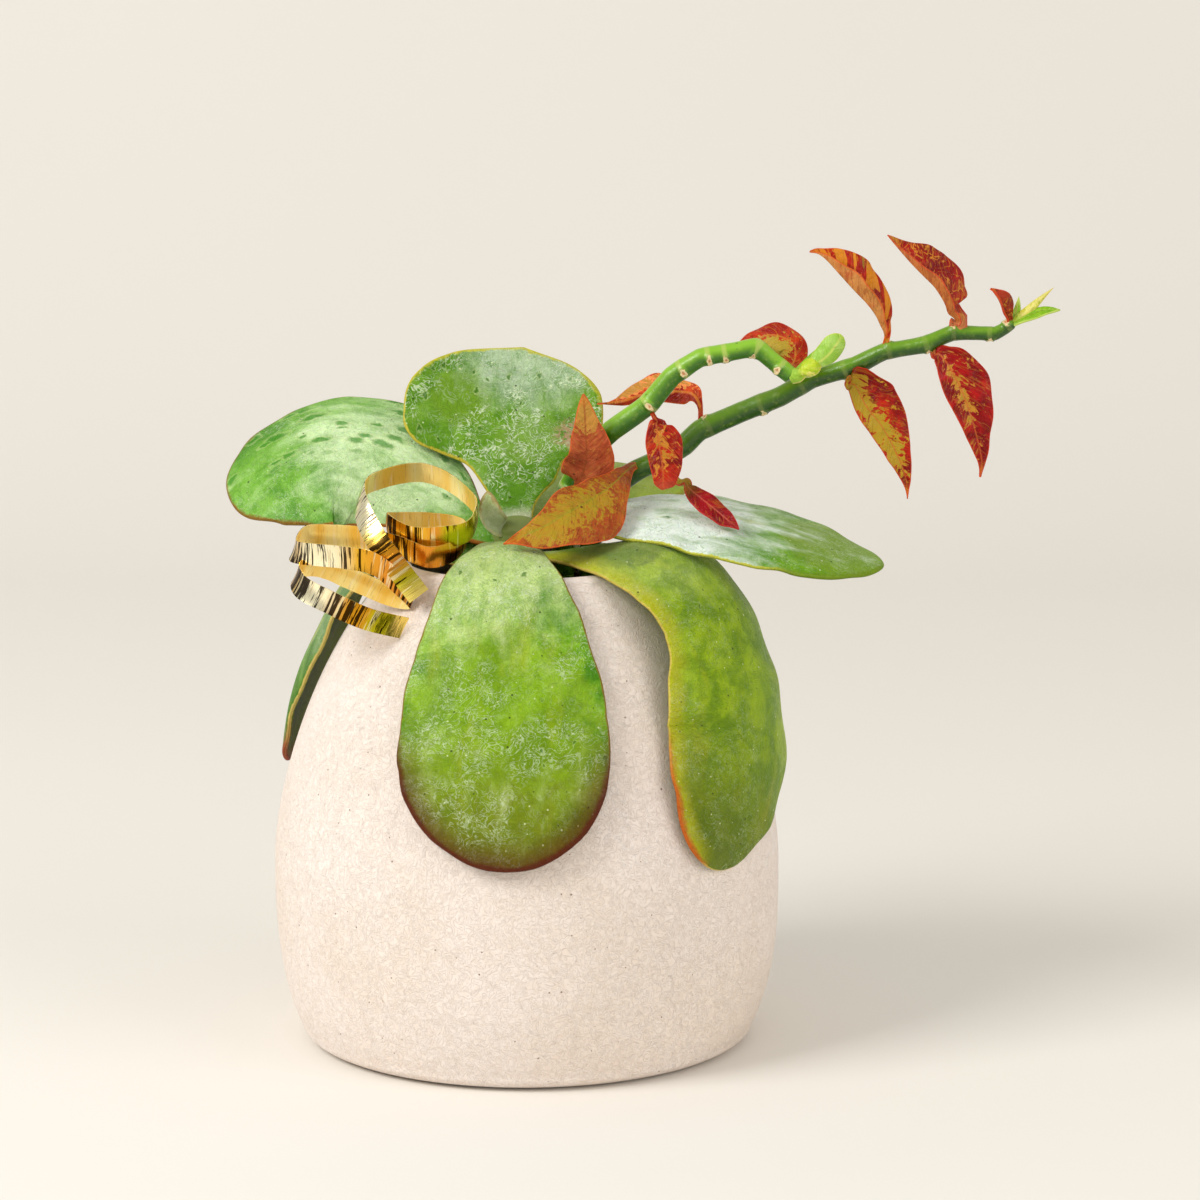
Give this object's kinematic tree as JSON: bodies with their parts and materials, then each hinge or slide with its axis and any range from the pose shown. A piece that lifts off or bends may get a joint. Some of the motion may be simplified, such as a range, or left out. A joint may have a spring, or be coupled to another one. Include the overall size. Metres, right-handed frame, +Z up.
{
  "type": "potted succulent arrangement",
  "caption": "Egg-shaped matt ceramic pot of soil with broad paddle succulent leaves, jointed stems with red leaves and a curled gilt ribbon on its shoulder.",
  "frame": {"origin": "middle of the pot's flat base", "axes": "+Z up along the pot's axis, front of the pot towards -Y, long stem reaching towards +X"},
  "size_m": [0.2772, 0.1761, 0.2703],
  "materials": {
    "matt_ceramic": "matt unglazed, fine stipple",
    "potting_soil": "loose dark soil",
    "paddle_leaf": "waxy green with a white bloom",
    "leafy_stem": "smooth green stem and red leaves",
    "gilt_film": "mirror metallised film"
  },
  "bodies": {
    "root": {"pot": "matt_ceramic", "potting_soil": "potting_soil", "paddle_crown": "paddle_leaf", "paddle_front": "paddle_leaf", "paddle_drape_right": "paddle_leaf", "paddle_spread_right": "paddle_leaf", "paddle_tall_back": "paddle_leaf", "paddle_left": "paddle_leaf", "paddle_low_left": "paddle_leaf", "paddle_back_right": "paddle_leaf", "paddle_back": "paddle_leaf", "paddle_inner_small": "paddle_leaf", "backbone_long": "leafy_stem", "backbone_short": "leafy_stem", "gilt_ribbon": "gilt_film"}
  },
  "joints": []
}
